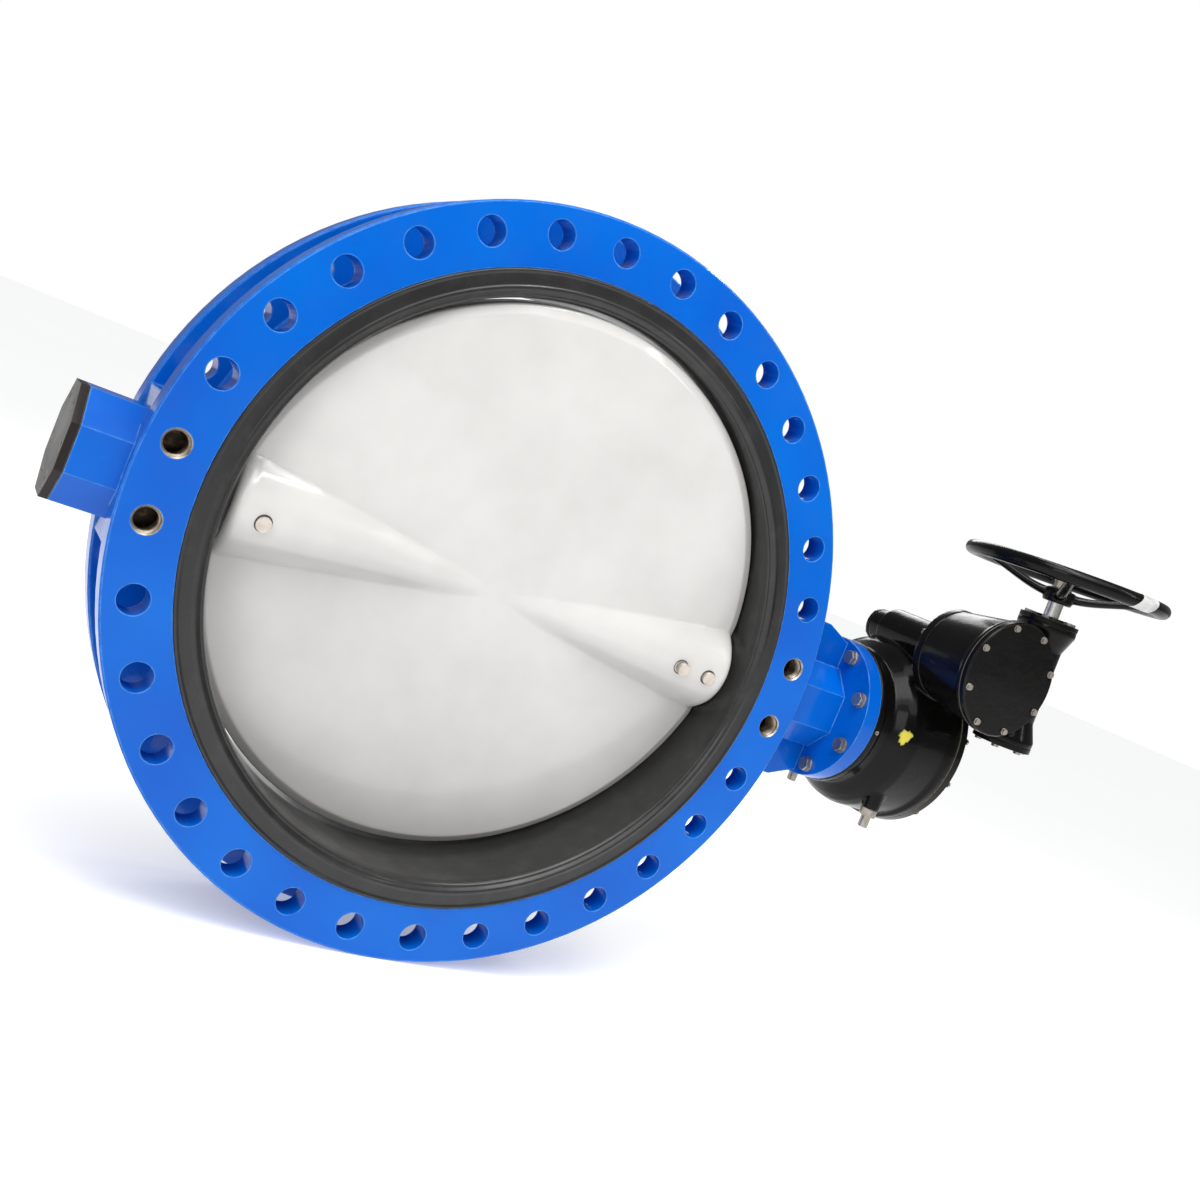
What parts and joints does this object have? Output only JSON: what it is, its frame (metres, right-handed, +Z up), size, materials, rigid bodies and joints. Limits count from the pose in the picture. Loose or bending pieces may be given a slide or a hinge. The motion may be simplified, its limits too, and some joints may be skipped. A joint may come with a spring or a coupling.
{
  "type": "butterfly valve",
  "caption": "Large double-flanged centre-line butterfly valve with a rubber seat, pinned disc and a handwheel-driven two-stage worm gearbox.",
  "frame": {"origin": "centre of the front flange face, on the pipe axis", "axes": "+X along the stems towards the gearbox, +Y along the pipe from the front flange to the rear flange, +Z up, towards the handwheel"},
  "size_m": [2.3318, 0.7376, 1.53],
  "materials": {
    "blue_epoxy": "gloss fusion-bonded epoxy coating on ductile iron",
    "disc_coating": "light grey gloss coating on ductile iron",
    "seat_rubber": "matt black EPDM",
    "stainless": "turned stainless steel",
    "bronze": "machined bronze",
    "packing": "pressed packing rings",
    "gearbox_black": "gloss black enamel on cast iron",
    "zinc_steel": "zinc-plated steel",
    "steel": "ground and oiled steel",
    "gear_iron": "machined ductile iron, greased",
    "paper": "grey-brown gasket sheet",
    "pointer_yellow": "satin yellow paint",
    "tape_white": "white adhesive film"
  },
  "bodies": {
    "valve": {"valve_body": "blue_epoxy", "lower_end_cover": "blue_epoxy", "seat_liner": "seat_rubber", "lower_cover_gasket": "seat_rubber", "input_oil_seal": "seat_rubber", "packing_gland": "stainless", "upper_stem_bush": "bronze", "lower_stem_bush": "bronze", "thrust_washer": "bronze", "casing_stem_bush": "bronze", "reducer_shaft_bush": "bronze", "input_lower_bush": "bronze", "input_upper_bush": "bronze", "worm_front_bearing": "bronze", "worm_rear_bearing": "bronze", "stem_packing": "packing", "gearbox_casing": "gearbox_black", "gearbox_cover": "gearbox_black", "reducer_casing": "gearbox_black", "reducer_cover": "gearbox_black", "input_lower_cap": "gearbox_black", "input_upper_cap": "gearbox_black", "worm_end_cap": "gearbox_black", "lower_cover_screws": "zinc_steel", "top_flange_bolts": "zinc_steel", "gearbox_cover_screws": "zinc_steel", "stop_screws": "zinc_steel", "stop_screw_nuts": "zinc_steel", "reducer_cover_screws": "zinc_steel", "reducer_joint_bolts": "zinc_steel", "input_cap_screws": "zinc_steel", "worm_end_cap_screws": "zinc_steel", "gearbox_gasket": "paper", "reducer_gasket": "paper"},
    "disc": {"disc": "disc_coating", "disc_pins": "stainless", "upper_stem": "stainless", "lower_stem": "stainless", "stem_key": "stainless", "worm_wheel": "gear_iron", "stem_end_plate": "stainless", "stem_end_screws": "zinc_steel", "indicator_spindle": "steel", "position_pointer": "pointer_yellow"},
    "worm": {"worm_shaft": "steel", "second_worm_wheel": "bronze", "second_wheel_key": "steel", "second_wheel_nut": "zinc_steel"},
    "handwheel": {"input_worm_shaft": "steel", "handwheel": "gearbox_black", "handwheel_key": "steel", "handwheel_nut": "zinc_steel", "rim_tape": "tape_white"}
  },
  "joints": [
    {"name": "handwheel_turn", "type": "hinge", "parent": "valve", "child": "handwheel", "pos_m": [1.23981, -0.15, 0.24117], "axis": [-0.0523, 0, 0.9986], "range_deg": [-10584, 95256]},
    {"name": "worm_turn", "type": "hinge", "parent": "valve", "child": "worm", "pos_m": [1.103, 0, 0.234], "axis": [0, 1, 0], "range_deg": [-504, 4536]},
    {"name": "disc_turn", "type": "hinge", "parent": "valve", "child": "disc", "pos_m": [0, 0.127, 0], "axis": [1, 0, 0], "range_deg": [-9, 81]}
  ],
  "couplings": [
    {"joint": "worm_turn", "follows": "handwheel_turn", "ratio": 0.047619},
    {"joint": "disc_turn", "follows": "handwheel_turn", "ratio": 0.00085034}
  ]
}
